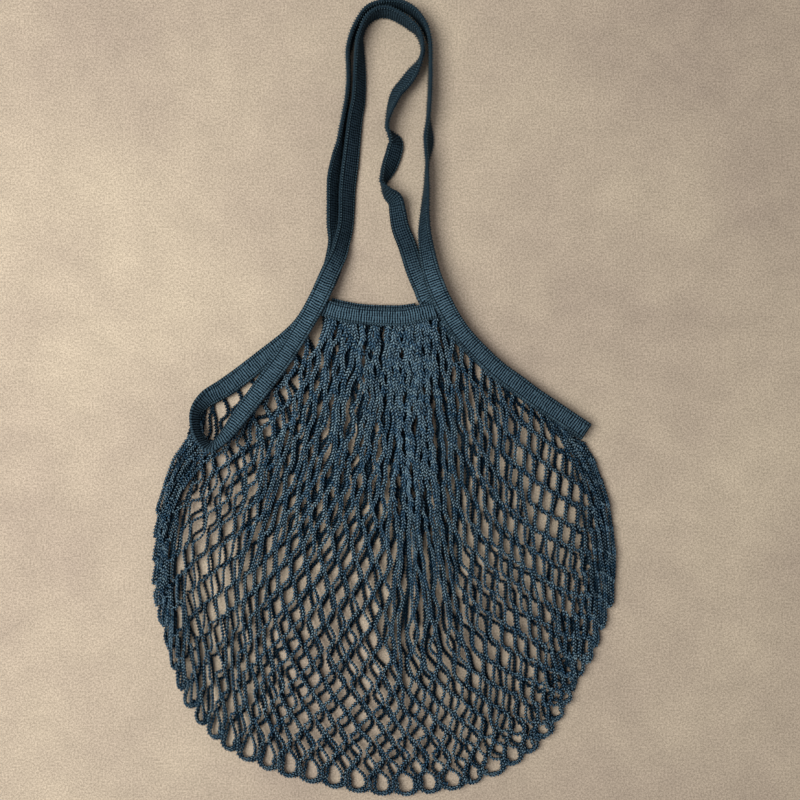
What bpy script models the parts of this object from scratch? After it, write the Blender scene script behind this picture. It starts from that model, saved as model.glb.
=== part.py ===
# Mesh shopping bag: a pouch of knitted cotton net with a bound mouth and two tape
# handles, lying flat on its back. Lengths in the tables are millimetres; +Y runs from
# the pouch to the handles and z = 0 is the surface it lies on.
import math

import bmesh
import bpy
from mathutils import Vector

MM = 0.001

# Driving sizes
TAPE_WIDTH = 16.0
BAND_WIDTH = 14.3
TAPE_THICKNESS = 3.0
NET_THICKNESS = 3.0
CLEARANCE = 0.3
ROUTE_STEP = 5.0
EDGE_DIP = 0.2  # how far a twisting tape's corners reach below its underside

# The net: diamonds across one layer, half-rows of diamonds from mouth to bottom,
# the width of a strand and the narrowest gap that stays open
COLUMNS = 10
HALF_ROWS = 16
STRAND_WIDTH = 7.2
NARROWEST_GAP = 4.2
GATHERED_ROWS = 4  # half-rows under the bands whose gaps are drawn shut
GATHERED_SHARE = 0.54  # of the columns at the bands, narrowing by this much a row:
GATHERED_TAPER = 0.09
LAST_ROW = 0.45  # height of the last half-row against the others, where the loops turn
RIDGE_HEIGHT = 4.0
RIDGE_WIDTH = 26.0
RIDGE_SHARE = 0.57
PARTED = 0.001  # of a column: the two layers are apart where the mouth ends

# Undersides of what lies on what, from the surface up
ON_BACK_NET = NET_THICKNESS + CLEARANCE
FRONT_NET = ON_BACK_NET + TAPE_THICKNESS + CLEARANCE
ON_FRONT_NET = FRONT_NET + NET_THICKNESS + CLEARANCE
ON_BAND = ON_FRONT_NET + TAPE_THICKNESS + CLEARANCE

NAVY = (0.035, 0.085, 0.135)
SLATE = (0.055, 0.105, 0.150)

# Edges of the pouch. Columns: share along the edge, x, y
MOUTH_FRONT = [
    (0.0, -157, -37), (0.1, -128, -34), (0.2, -92, 24), (0.3, -50, 70), (0.4, -22, 66),
    (0.5, 1, 64), (0.6, 20, 66), (0.7, 40, 70), (0.8, 76, 36), (0.9, 118, 4), (1.0, 155, -31.5),
]
MOUTH_BACK = [
    (0.0, -157, -37), (0.1, -145, 2), (0.2, -95, 36), (0.3, -46, 75), (0.4, -22, 73),
    (0.5, 1, 72), (0.6, 18, 73), (0.7, 36, 76), (0.8, 76, 36), (0.9, 118, 4), (1.0, 155, -31.5),
]
LEFT_FOLD = [
    (0.0, -157, -37), (0.09, -178, -52), (0.18, -189, -72), (0.32, -193, -110),
    (0.46, -193.5, -148), (0.6, -193, -184), (0.74, -186, -219), (0.88, -170, -252),
    (1.0, -153, -282),
]
RIGHT_FOLD = [
    (0.0, 155, -31.5), (0.06, 171, -45), (0.18, 180, -73), (0.32, 189, -106), (0.46, 193.5, -145),
    (0.6, 186, -178), (0.73, 177, -209), (0.87, 165, -242), (1.0, 147, -270),
]
BOTTOM = [
    (0.0, -153, -282), (0.15, -108, -310), (0.3, -60, -323), (0.5, 6, -334),
    (0.68, 62, -331), (0.82, 106, -311), (1.0, 147, -270),
]
# Where the columns lie across the middle of the front layer: they crowd at both folds
# and at the ridge. Columns: share of the columns, share of the width
CROWDING = [
    (0.0, 0.0), (0.1, 0.055), (0.2, 0.145), (0.3, 0.27), (0.4, 0.41), (0.5, 0.525),
    (0.6, 0.60), (0.7, 0.70), (0.8, 0.825), (0.9, 0.935), (1.0, 1.0),
]

# Routes of the tapes. Columns: x, y, underside, lean in degrees; at 0 the tape lies
# flat, at 90 it stands on its edge, with the side to the left of its run upwards.
# Handles and bindings meet at the four feet, at the ends of the bands
FOOT_FRONT_LEFT = (-54.5, 87, ON_BAND, 0)
FOOT_FRONT_RIGHT = (47, 82, ON_BAND, 0)
FOOT_BACK_LEFT = (-61.5, 76.5, ON_BACK_NET, 0)
FOOT_BACK_RIGHT = (35.5, 83.5, ON_BACK_NET, 0)
HANDLE_INNER = [
    FOOT_FRONT_LEFT, (-46, 107, 9.0, 20), (-40, 120, 5.5, 30), (-37, 131, 2.5, 38),
    (-33.5, 149, 0, 42), (-32.5, 176, 0, 38), (-29.5, 203, 0, 34), (-26, 235, 0, 46),
    (-23, 252, 0, 52), (-22, 275, 0, 56), (-22, 297, 0, 72), (-20.5, 308, 0, 86),
    (-16, 318, 0, 86), (-7.5, 324.5, 0, 82), (2, 325, 0, 80), (11, 321, 0, 80),
    (19.5, 315.5, 0, 82), (26.5, 309, 0, 88), (30, 301, 0, 90), (31, 293, 0, 90),
    (28, 284, 0, 78), (22.5, 275, 0, 54), (16, 266, 0, 48), (9.5, 258, 0, 54),
    (5.5, 247, 0, 70), (2, 236, 0, 84), (1, 229, 0, 88), (4.5, 223, 0, 80), (9, 216.5, 0, 62),
    (7.5, 207, 0, 54), (2.5, 197, 0, 64), (-2.5, 187, 0, 82), (-3, 180, 0, 86),
    (2, 172.5, 0, 64), (8, 167, 0, 44), (10, 157, 0, 30), (12.5, 144, 0, 16), (18, 130, 0, 5),
    (24.5, 110, 0, 0), (31, 94, 1.5, 0), FOOT_BACK_RIGHT,
]
HANDLE_OUTER = [
    FOOT_BACK_LEFT, (-54.5, 90.5, 1.5, 0), (-47, 106.5, 0, 3),
    (-43, 121, 0, 8), (-41.5, 133.5, 0, 30), (-43.5, 146, 0, 60), (-45.5, 163, 0, 82),
    (-46, 184, 0, 84), (-42, 202, 0, 84), (-39.5, 214, 0, 86), (-35.5, 234, 0, 88),
    (-33, 250, 0, 90), (-31.5, 264, 0, 90), (-31.5, 276, 0, 90), (-31.5, 293, 0, 88),
    (-26, 310, 0, 84), (-16, 325.5, 0, 84), (-3, 331, 0, 84), (8.5, 331.5, 0, 84),
    (17, 329, 0, 84), (25.5, 323, 0, 84), (32.5, 313.5, 0, 86), (36.5, 302.5, 0, 90),
    (37.5, 290, 0, 90), (37, 260, 0, 84), (36, 238, 0, 78), (35.5, 218, 0, 80),
    (34.5, 199, 0, 88), (34, 176, 0, 80), (32.5, 154, 0.5, 66), (32.5, 138, 3.2, 52),
    (35, 120, 6.2, 36), (38.5, 104, 9.6, 20), (43, 91, 12.6, 6), FOOT_FRONT_RIGHT,
]
BINDING_LEFT = [
    FOOT_FRONT_LEFT, (-62.5, 71.5, ON_BAND, 0), (-69, 60.5, 12.6, 0),
    (-79.5, 44, ON_FRONT_NET, 0), (-87.5, 30, ON_FRONT_NET, 0), (-97, 14.5, ON_FRONT_NET, 0),
    (-109.5, -5, ON_FRONT_NET, 4), (-121, -19, ON_FRONT_NET, 12),
    (-132, -34, ON_FRONT_NET, 24), (-142, -41, ON_FRONT_NET, 34),
    (-152.5, -40.5, ON_FRONT_NET, 36), (-159.5, -33, ON_FRONT_NET, 34), (-160, -22, 7.0, 26),
    (-153, -8.5, 4.6, 14),
    (-142, 5, ON_BACK_NET, 0), (-125, 18.5, ON_BACK_NET, 0), (-102, 35, ON_BACK_NET, 0),
    (-83, 50, ON_BACK_NET, 0), (-70.5, 62.5, ON_BACK_NET, 0), FOOT_BACK_LEFT,
]
BINDING_RIGHT = [
    FOOT_FRONT_RIGHT, (55, 67, ON_BAND, 0), (66, 51.5, 12.0, 0),
    (82.5, 34.5, ON_FRONT_NET, 0), (95, 23, ON_FRONT_NET, 0), (109.5, 12.5, ON_FRONT_NET, 0),
    (125, 1, ON_FRONT_NET, 0), (142.5, -10.5, ON_FRONT_NET, 0), (159, -21.5, ON_FRONT_NET, 0),
    (165, -25.5, ON_FRONT_NET, 0), (168, -27.5, FRONT_NET, 0), (165, -25.5, ON_BACK_NET, 0),
    (159, -21.5, ON_BACK_NET, 0), (142.5, -10.5, ON_BACK_NET, 0), (125, 1, ON_BACK_NET, 0),
    (109.5, 12.5, ON_BACK_NET, 0), (95, 23, ON_BACK_NET, 0), (82.5, 34.5, ON_BACK_NET, 0),
    (66, 50, ON_BACK_NET, 0), (50, 66, ON_BACK_NET, 0), FOOT_BACK_RIGHT,
]
BAND_FRONT = [
    (-53.5, 77, ON_FRONT_NET, 0), (-37.5, 72, ON_FRONT_NET, 0), (-16.5, 69, ON_FRONT_NET, 0),
    (11.5, 68, ON_FRONT_NET, 0), (25, 70.5, ON_FRONT_NET, 0), (42, 74.5, ON_FRONT_NET, 0),
]
BAND_BACK = [
    (-47, 78.5, ON_BACK_NET, 0), (-33, 75, ON_BACK_NET, 0), (-16, 72.5, ON_BACK_NET, 0),
    (11, 72, ON_BACK_NET, 0), (26, 74, ON_BACK_NET, 0),
]


def smooth(rows, column, index, part):
    """A column between rows index and index + 1 on a Catmull-Rom curve, and its slope."""
    last = len(rows) - 1
    before, start, end, after = (
        rows[min(max(index + step, 0), last)][column] for step in (-1, 0, 1, 2)
    )
    rise = end - before
    bend = 2 * before - 5 * start + 4 * end - after
    twist = 3 * start - 3 * end + after - before
    value = start + (rise * part + bend * part**2 + twist * part**3) / 2
    return value, (rise + 2 * bend * part + 3 * twist * part**2) / 2


def at_share(rows, share):
    """The row of a table read at a share in its first column."""
    index = 0
    while index < len(rows) - 2 and rows[index + 1][0] < share:
        index += 1
    part = (share - rows[index][0]) / (rows[index + 1][0] - rows[index][0])
    return [smooth(rows, column, index, part)[0] for column in range(1, len(rows[0]))]


def make_object(name, mesh, colour):
    material = bpy.data.materials.new(name)
    material.use_nodes = True
    shader = material.node_tree.nodes["Principled BSDF"]
    shader.inputs["Base Color"].default_value = (*colour, 1)
    shader.inputs["Roughness"].default_value = 0.9
    mesh.materials.append(material)
    piece = bpy.data.objects.new(name, mesh)
    bag.objects.link(piece)
    return piece


def thicken(piece, thickness):
    shell = piece.modifiers.new("thickness", "SOLIDIFY")
    shell.thickness = thickness * MM
    shell.offset = 0
    return shell


def mesh_of(name, form):
    mesh = bpy.data.meshes.new(name)
    form.to_mesh(mesh)
    form.free()
    return mesh


def route_points(rows, first, last):
    """Places about ROUTE_STEP apart from row first to row last, each with its slopes."""
    places = []
    for index in range(first, last):
        steps = max(1, round(math.dist(rows[index][:3], rows[index + 1][:3]) / ROUTE_STEP))
        places += [(index, step / steps) for step in range(steps)]
    places.append((last - 1, 1.0))
    return [[smooth(rows, column, *place) for column in range(4)] for place in places]


def tape(name, rows, width, colour, before=None, after=None):
    """A flat tape laid along a route: an open ribbon, then its thickness. Where it meets
    another tape end to end, before and after are the rows that follow on that one."""
    first = 1 if before else 0
    whole = ([before] if before else []) + rows + ([after] if after else [])
    points = route_points(whole, first, first + len(rows) - 1)
    form = bmesh.new()
    sideways = None
    edge_before = None
    for index, ((x, dx), (y, dy), (underside, rise), (lean, _)) in enumerate(points):
        run = Vector((dx, dy, 0))
        if sideways is None or run.length > abs(rise):
            turned = Vector((-dy, dx, 0)).normalized()
            sideways = -turned if sideways and turned.dot(sideways) < 0 else turned
        angle = math.radians(lean)
        across = sideways * math.cos(angle) + Vector((0, 0, math.sin(angle)))
        half_height = (width * abs(math.sin(angle)) + TAPE_THICKNESS * abs(math.cos(angle))) / 2
        middle = Vector((x, y, max(underside, EDGE_DIP) + half_height))
        if (before and index == 0) or (after and index == len(points) - 1):
            middle += run.normalized() * CLEARANCE / 2 * (1 if index == 0 else -1)
        edge = [form.verts.new((middle + across * side * width / 2) * MM) for side in (1, 0, -1)]
        if edge_before:
            form.faces.new((edge_before[0], edge_before[1], edge[1], edge[0]))
            form.faces.new((edge_before[1], edge_before[2], edge[2], edge[1]))
        edge_before = edge
    piece = make_object(name, mesh_of(name, form), colour)
    thicken(piece, TAPE_THICKNESS)
    return piece


def pouch_point(column, row):
    """A lattice point of the pouch: columns 0 to 2 * COLUMNS are the front layer, from
    left to right, and the rest are the back layer, from right to left."""
    around = column % (4 * COLUMNS)
    in_front = around <= 2 * COLUMNS
    across = (around if in_front else 4 * COLUMNS - around) / (2 * COLUMNS)
    down = min(1, row / (HALF_ROWS - 1 + LAST_ROW)) if row < HALF_ROWS else 1
    top = MOUTH_FRONT if in_front else MOUTH_BACK
    crowded = at_share(CROWDING, across)[0] if in_front else across
    here = across + (crowded - across) * math.sin(math.pi * down)

    def between(edge, share):
        return Vector(at_share(edge, share))

    flat = (
        between(top, across) * (1 - down)
        + between(BOTTOM, across) * down
        + between(LEFT_FOLD, down) * (1 - here)
        + between(RIGHT_FOLD, down) * here
        - (between(LEFT_FOLD, 0) * (1 - across) + between(RIGHT_FOLD, 0) * across) * (1 - down)
        - (between(BOTTOM, 0) * (1 - across) + between(BOTTOM, 1) * across) * down
    )
    height = NET_THICKNESS / 2
    if around in (0, 2 * COLUMNS) or row == HALF_ROWS:
        height += FRONT_NET / 2
    elif in_front:
        ridge = math.exp(-(((here - RIDGE_SHARE) * 380 / RIDGE_WIDTH) ** 2))
        height += FRONT_NET + RIDGE_HEIGHT * ridge * math.sin(math.pi * min(1, 1.3 * down)) ** 2
    return Vector((flat.x, flat.y, height))


def edge_distance(point, start, end):
    run = end - start
    return (point - start).cross(run).length / run.length


def net():
    """The pouch as a lattice of diamonds, each with its gap cut where it is wide enough."""
    form = bmesh.new()
    corners = {}

    def corner(column, row):
        if row > HALF_ROWS:
            column, row = -column, 2 * HALF_ROWS - row
        if row == HALF_ROWS and column % (4 * COLUMNS) > 2 * COLUMNS:
            column = -column
        key = (column % (4 * COLUMNS), row)
        if key not in corners:
            corners[key] = form.verts.new(pouch_point(*key) * MM)
        return corners[key]

    gaps = 0
    for row in range(1, HALF_ROWS + 1):
        last = 2 * COLUMNS if row == HALF_ROWS else 4 * COLUMNS
        for column in range((row + 1) % 2, last, 2):
            on_fold = column % (2 * COLUMNS) == 0
            around = [corner(column - 1, row), corner(column, row + 1), corner(column + 1, row)]
            if on_fold and row == 1:
                form.faces.new((around[0], around[1], corner(column - PARTED, 0)))
                form.faces.new((around[1], around[2], corner(column + PARTED, 0)))
                continue
            around.append(corner(column, row - 1))
            centre = pouch_point(column, row) * MM
            sides = list(zip(around, around[1:] + around[:1]))
            reach = min(edge_distance(centre, a.co, b.co) for a, b in sides)
            strand = STRAND_WIDTH / 2 * MM
            side = min(column, 4 * COLUMNS - column) / (2 * COLUMNS)
            drawn = (GATHERED_SHARE - GATHERED_TAPER * row) / 2
            gathered = row <= GATHERED_ROWS and abs(side - 0.5) < drawn
            if on_fold or gathered or reach < strand + NARROWEST_GAP / 2 * MM:
                middle = form.verts.new(centre)
                for a, b in sides:
                    form.faces.new((a, b, middle))
                continue
            rim = [form.verts.new(v.co.lerp(centre, strand / reach)) for v in around]
            for index, (a, b) in enumerate(sides):
                form.faces.new((a, b, rim[(index + 1) % 4], rim[index]))
            gaps += 1
    for column in range(0, 4 * COLUMNS, 2):
        start = column + PARTED * (column % (2 * COLUMNS) == 0)
        end = column + 2 - PARTED * ((column + 2) % (2 * COLUMNS) == 0)
        form.faces.new((corner(start, 0), corner(column + 1, 1), corner(end, 0)))
    print(gaps, "gaps cut in the net")
    piece = make_object("net", mesh_of("net", form), NAVY)
    thicken(piece, NET_THICKNESS)
    return piece


for leftover in list(bpy.data.objects):
    bpy.data.objects.remove(leftover)
bag = bpy.data.collections.new("mesh_shopping_bag")
bpy.context.scene.collection.children.link(bag)

net()
tape("band_front", BAND_FRONT, BAND_WIDTH, SLATE)
tape("band_back", BAND_BACK, BAND_WIDTH, SLATE)
tape("binding_left", BINDING_LEFT, TAPE_WIDTH, SLATE, HANDLE_INNER[1], HANDLE_OUTER[1])
tape("binding_right", BINDING_RIGHT, TAPE_WIDTH, SLATE, HANDLE_OUTER[-2], HANDLE_INNER[-2])
tape("handle_inner", HANDLE_INNER, TAPE_WIDTH, SLATE, BINDING_LEFT[1], BINDING_RIGHT[-2])
tape("handle_outer", HANDLE_OUTER, TAPE_WIDTH, SLATE, BINDING_LEFT[-2], BINDING_RIGHT[1])
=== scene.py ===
import math

import bpy
import numpy as np
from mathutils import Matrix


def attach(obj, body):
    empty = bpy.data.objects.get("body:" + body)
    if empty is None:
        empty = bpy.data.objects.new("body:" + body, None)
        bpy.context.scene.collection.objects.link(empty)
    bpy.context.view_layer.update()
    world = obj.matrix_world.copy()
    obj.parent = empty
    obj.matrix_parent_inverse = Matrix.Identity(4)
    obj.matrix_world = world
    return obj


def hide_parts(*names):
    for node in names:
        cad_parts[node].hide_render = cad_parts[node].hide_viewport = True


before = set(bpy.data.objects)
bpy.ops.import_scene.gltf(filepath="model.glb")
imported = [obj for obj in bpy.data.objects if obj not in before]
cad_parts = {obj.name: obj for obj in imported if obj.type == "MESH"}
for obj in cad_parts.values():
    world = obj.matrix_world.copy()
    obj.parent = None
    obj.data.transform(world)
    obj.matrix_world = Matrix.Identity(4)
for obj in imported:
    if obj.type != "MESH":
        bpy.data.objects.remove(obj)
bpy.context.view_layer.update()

mm = 0.001

bagSettings = {
    "backNet": 2.4,  # height of the middle of each layer of net above the floor
    "frontNet": 7.6,
    "seed": 11,
}


def slopesAlong(knots, values):
    steps = np.diff(knots)[:, None]
    rises = np.diff(values, axis=0) / steps
    slopes = np.empty_like(values)
    slopes[0], slopes[-1] = rises[0], rises[-1]
    before, after = rises[:-1], rises[1:]
    same = before * after > 0  # flat where the curve turns, so it never overshoots
    blend = 2 * before * after / np.where(same, before + after, 1.0)
    slopes[1:-1] = np.where(same, blend, 0.0)
    return slopes


def readCurve(knots, values, places):
    # a smooth curve through the values at the knots, read at other places
    knots = np.asarray(knots, float)
    values = np.asarray(values, float)
    places = np.clip(np.asarray(places, float), knots[0], knots[-1])
    slopes = slopesAlong(knots, values)
    index = np.clip(np.searchsorted(knots, places, side="right") - 1, 0, len(knots) - 2)
    gap = (knots[index + 1] - knots[index])[:, None]
    part = ((places - knots[index])[:, None]) / gap
    low, high = values[index], values[index + 1]
    bend, pull = part * part * (3 - 2 * part), part * (1 - part)
    leaning = slopes[index] * (1 - part) - slopes[index + 1] * part
    return low + (high - low) * bend + gap * pull * leaning


def roundedPath(points, times=2):
    # rounds a path by cutting its corners
    points = np.asarray(points, float)
    for _ in range(times):
        near = points[:-1] * 0.75 + points[1:] * 0.25
        far = points[:-1] * 0.25 + points[1:] * 0.75
        middle = np.stack([near, far], axis=1).reshape(-1, points.shape[1])
        points = np.vstack([points[:1], middle, points[-1:]])
    return points


def addObject(name, data):
    added = bpy.data.objects.new(name, data)
    bpy.context.scene.collection.objects.link(added)
    return added


def smoothFaces(mesh):
    mesh.polygons.foreach_set("use_smooth", [True] * len(mesh.polygons))


def newMaterial(name):
    material = bpy.data.materials.new(name)
    material.use_nodes = True
    return material, material.node_tree, material.node_tree.nodes["Principled BSDF"]


def addNode(tree, kind, **settings):
    node = tree.nodes.new(kind)
    for name, value in settings.items():
        setattr(node, name, value)
    return node


def mixColours(tree, factor, low, high):
    mix = addNode(tree, "ShaderNodeMix", data_type="RGBA")
    tree.links.new(factor, mix.inputs[0])
    for socket, colour in ((mix.inputs[6], low), (mix.inputs[7], high)):
        if isinstance(colour, bpy.types.NodeSocket):
            tree.links.new(colour, socket)
        else:
            socket.default_value = (*colour, 1)
    return mix.outputs[2]


def calculate(tree, operation, *values):
    node = addNode(tree, "ShaderNodeMath", operation=operation)
    for socket, value in zip(node.inputs, values):
        if isinstance(value, bpy.types.NodeSocket):
            tree.links.new(value, socket)
        else:
            socket.default_value = value
    return node.outputs[0]


def addNoise(tree, place, scale, detail=2.0, roughness=0.5):
    noise = addNode(tree, "ShaderNodeTexNoise")
    for name, value in (("Scale", scale), ("Detail", detail), ("Roughness", roughness)):
        noise.inputs[name].default_value = value
    tree.links.new(place, noise.inputs["Vector"])
    return noise.outputs["Fac"]


def addRamp(tree, value, start, end, low=0.0, high=1.0, kind="SMOOTHSTEP"):
    ramp = addNode(tree, "ShaderNodeMapRange", interpolation_type=kind)
    for name, number in (("From Min", start), ("From Max", end), ("To Min", low), ("To Max", high)):
        ramp.inputs[name].default_value = number
    tree.links.new(value, ramp.inputs["Value"])
    return ramp.outputs["Result"]


def addWave(tree, value, pitch):
    # runs from 0 to 1 and back over each pitch
    turn = calculate(tree, "MULTIPLY", value, 2 * math.pi / pitch)
    return calculate(tree, "MULTIPLY_ADD", calculate(tree, "COSINE", turn), 0.5, 0.5)


def axesOf(tree, vector):
    split = addNode(tree, "ShaderNodeSeparateXYZ")
    tree.links.new(vector, split.inputs[0])
    return split.outputs


cotton = {
    "specular": 0.05,
    "sheenRoughness": 0.45,
    "fadingScale": 14, "fadingShare": 0.45,  # slow change of dye over the bag
    "fibreScale": 1500, "fibreDetail": 3,  # single fibres
    "stitchTint": 0.80,  # how far single stitches of yarn darken
    "paintedDeepTone": 0.15,  # painted shade: how much of the yarn's colour is left at the bottom of the net
    "bumpDistance": 0.4, "yarnBump": 0.5,
}


def cottonMaterial(name, look):
    material, tree, shader = newMaterial(name)
    for label, value in (
        ("Roughness", look["roughness"]),
        ("Sheen Weight", look["sheen"]),
        ("Sheen Roughness", cotton["sheenRoughness"]),
        ("Sheen Tint", (*look["sheenTint"], 1)),
        ("Specular IOR Level", cotton["specular"]),
    ):
        shader.inputs[label].default_value = value
    place = addNode(tree, "ShaderNodeTexCoord").outputs["Object"]
    fading = addNoise(tree, place, cotton["fadingScale"])
    fibres = addNoise(tree, place, cotton["fibreScale"], cotton["fibreDetail"])
    colour = mixColours(tree, fibres, look["dark"], look["light"])
    faded = calculate(tree, "MULTIPLY", fading, cotton["fadingShare"])
    colour = mixColours(tree, faded, colour, look["faded"])
    return material, tree, shader, place, colour, fibres


def addBump(tree, shader, height, strength):
    bump = addNode(tree, "ShaderNodeBump")
    bump.inputs["Strength"].default_value = strength
    bump.inputs["Distance"].default_value = cotton["bumpDistance"] * mm
    tree.links.new(height, bump.inputs["Height"])
    tree.links.new(bump.outputs["Normal"], shader.inputs["Normal"])


# in each look below, the near-black colour after the three tones is painted shade, mixed in where shade
# falls
yarnLook = {
    "dark": (0.01, 0.095, 0.22), "light": (0.74, 1.0, 1.0), "faded": (0.39, 0.64, 0.90),
    "between": (0.0001, 0.010, 0.024),
    "roughness": 0.92, "sheen": 0.0, "sheenTint": (0.42, 0.66, 0.80),
    "lowest": 2.2, "highest": 9.0,  # heights in mm over which painted shade on the yarn fades out, so the yarn grows lighter
}
threadLook = {
    "dark": (0.050, 0.110, 0.145), "light": (0.260, 0.385, 0.460), "faded": (0.150, 0.235, 0.290),
    "between": (0.004, 0.012, 0.018),
    "roughness": 0.9, "sheen": 0.05, "sheenTint": (0.55, 0.7, 0.8),
    "lowest": -2, "highest": 6,
}
tapeLook = {
    "dark": (0.008, 0.040, 0.078), "light": (0.205, 0.350, 0.450), "faded": (0.088, 0.160, 0.218),
    "between": (0.0005, 0.004, 0.008),
    "roughness": 0.9, "sheen": 0.02, "sheenTint": (0.55, 0.7, 0.8),
    "ribPitch": 2.15, "walePitch": 2.0,
    "bendScale": 160, "ribBend": 2.4,  # the ribs are not quite straight
    "ribShare": 0.78,  # the rest shows as rows of stitches along the tape
    "unevenScale": 420, "unevenness": 2.0, "leastDepth": 0.30,  # painted shade in the knit's valleys is deeper in some places, so stitches stand out more there
    "handleFrom": 88, "handleTo": 135,  # from the first height to the second the handles leave the bag, and painted shade darkens them
    "handleShade": 0.62, "handleRibs": 0.5,
    "bindingFrom": 62, "bindingTo": 40, "bindingShade": 0.15,  # below the band the tape is darker too, from painted shade
    "seam": 5.4, "seamHalf": 0.5, "seamShade": 0.85,  # distance of the seam line from the middle; its groove gets painted shade
    # past this distance from the middle the rounded edges get painted shade
    "edge": 7.3, "edgeShade": 0.6,
    "fibreBump": 0.3, "bump": 0.7,
}


def makeYarn(name, look):
    material, tree, shader, place, colour, fibres = cottonMaterial(name, look)
    stitch = addNode(tree, "ShaderNodeAttribute", attribute_name="stitchTint").outputs["Fac"]
    tint = calculate(tree, "MULTIPLY", stitch, cotton["stitchTint"])
    colour = mixColours(tree, tint, colour, look["dark"])
    height = axesOf(tree, place)["Z"]
    high = addRamp(tree, height, look["lowest"] * mm, look["highest"] * mm, cotton["paintedDeepTone"])
    colour = mixColours(tree, high, look["between"], colour)  # painted shade, darker deep in the net
    shade = addNode(tree, "ShaderNodeAttribute", attribute_name="legShade").outputs["Fac"]
    colour = mixColours(tree, shade, look["between"], colour)  # painted shade where legs tuck under and on their backs
    tree.links.new(colour, shader.inputs["Base Color"])
    addBump(tree, shader, fibres, cotton["yarnBump"])
    return material


def makeTapeKnit(name, look):
    material, tree, shader, place, colour, fibres = cottonMaterial(name, look)
    weave = axesOf(tree, addNode(tree, "ShaderNodeUVMap", uv_map="weave").outputs["UV"])
    across, along = weave["X"], weave["Y"]  # millimetres over and along the tape
    bend = calculate(tree, "MULTIPLY", addNoise(tree, place, look["bendScale"]), look["ribBend"])
    rib = addWave(tree, calculate(tree, "ADD", along, bend), look["ribPitch"])
    wale = addWave(tree, across, look["walePitch"])
    upBag = axesOf(tree, place)["Y"]
    handle = addRamp(tree, upBag, look["handleFrom"] * mm, look["handleTo"] * mm)
    moreRibs = look["handleRibs"] - look["ribShare"]
    share = calculate(tree, "MULTIPLY_ADD", handle, moreRibs, look["ribShare"])
    ribbed = calculate(tree, "MULTIPLY", calculate(tree, "SUBTRACT", rib, wale), share)
    knit = calculate(tree, "ADD", wale, ribbed)
    uneven = addNoise(tree, place, look["unevenScale"])
    depth = calculate(tree, "MULTIPLY_ADD", uneven, look["unevenness"], look["leastDepth"])
    # painted shade in the knit's valleys, among its ribs and wales
    valleyShade = calculate(tree, "MULTIPLY", calculate(tree, "SUBTRACT", 1.0, knit), depth)
    away = calculate(tree, "ABSOLUTE", across)
    fromSeam = calculate(tree, "ABSOLUTE", calculate(tree, "SUBTRACT", away, look["seam"]))
    seam = calculate(tree, "LESS_THAN", fromSeam, look["seamHalf"])
    edge = calculate(tree, "GREATER_THAN", away, look["edge"])
    # painted shade in the seam's groove and along the rounded edges
    for line, shade in ((seam, look["seamShade"]), (edge, look["edgeShade"])):
        valleyShade = calculate(tree, "MAXIMUM", valleyShade, calculate(tree, "MULTIPLY", line, shade))
    valleyShade = calculate(tree, "MINIMUM", valleyShade, 1.0)
    # painted shade on the handles
    handleShade = calculate(tree, "MULTIPLY", handle, look["handleShade"])
    bindingShade = addRamp(
        tree, upBag, look["bindingFrom"] * mm, look["bindingTo"] * mm,
        high=look["bindingShade"], kind="LINEAR",
    )
    for shade in (valleyShade, handleShade, bindingShade):
        colour = mixColours(tree, shade, colour, look["between"])
    tree.links.new(colour, shader.inputs["Base Color"])
    height = calculate(tree, "MULTIPLY_ADD", fibres, look["fibreBump"], knit)
    addBump(tree, shader, height, look["bump"])
    return material


netYarn = makeYarn("netYarn", yarnLook)
sewingThread = makeYarn("sewingThread", threadLook)
tapeKnit = makeTapeKnit("tapeKnit", tapeLook)
print("materials made")


# places along a piece of yarn, with its size and painted shade there
legRings = ((0.22, 0.8, 0.05), (0.52, 1.0, 1.0), (0.82, 0.85, 0.60))
# painted shade: the core behind the legs is nearly black
shadeCoreRings = ((0.5, 1.0, 0.08),)


def spindle(points, faces, shades, leg, rings, sides=3):
    # a leg of yarn, pointed at its ends: start, end, half width, half depth, bow to the front, painted tone
    start, end, halfAcross, halfDeep, bow, paintedTone = leg
    start, end = np.array(start, float), np.array(end, float)
    run = (end - start) / np.linalg.norm(end - start)
    over = np.cross((0, 1, 0), run)
    base = len(points)
    # painted shade: the pointed ends are dark, where the legs tuck under
    points.append(start)
    shades.append(0.0)
    for share, size, shade in rings:
        middle = start + (end - start) * share - np.array((0, bow * 4 * share * (1 - share), 0))
        for side in range(sides):
            turn = 2 * math.pi * side / sides - math.pi / 2
            ring = over * math.cos(turn) * halfAcross + np.array((0, 1, 0)) * math.sin(turn) * halfDeep
            points.append(middle + ring * size)
            shades.append(paintedTone * shade * (0.53 - 0.47 * math.sin(turn)))  # painted light in front, painted shade behind
    points.append(end)
    shades.append(0.0)
    last = base + 1 + sides * len(rings)
    for side in range(sides):
        after = (side + 1) % sides
        faces.append((base, base + 1 + after, base + 1 + side))
        for step in range(len(rings) - 1):
            low = base + 1 + step * sides
            faces.append((low + side, low + after, low + sides + after, low + sides + side))
        faces.append((last - sides + side, last - sides + after, last))


def stitchShape(name, legs, shadeCore=None):
    # legs lie in the XZ plane, Z along the cord; the core behind them is a near-black spindle, painted
    # shade in the gaps among the legs
    points, faces, shades = [], [], []
    for leg in legs:
        spindle(points, faces, shades, leg, legRings)
    if shadeCore:
        spindle(points, faces, shades, shadeCore, shadeCoreRings)
    mesh = bpy.data.meshes.new(name)
    mesh.from_pydata([tuple(point * mm) for point in points], [], faces)
    smoothFaces(mesh)
    mesh.attributes.new("legShade", "FLOAT", "POINT").data.foreach_set("value", shades)
    return bpy.data.objects.new(name, mesh)


def readAttribute(tree, name):
    node = addNode(tree, "GeometryNodeInputNamedAttribute", data_type="FLOAT")
    node.inputs["Name"].default_value = name
    return node.outputs["Attribute"]


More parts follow.
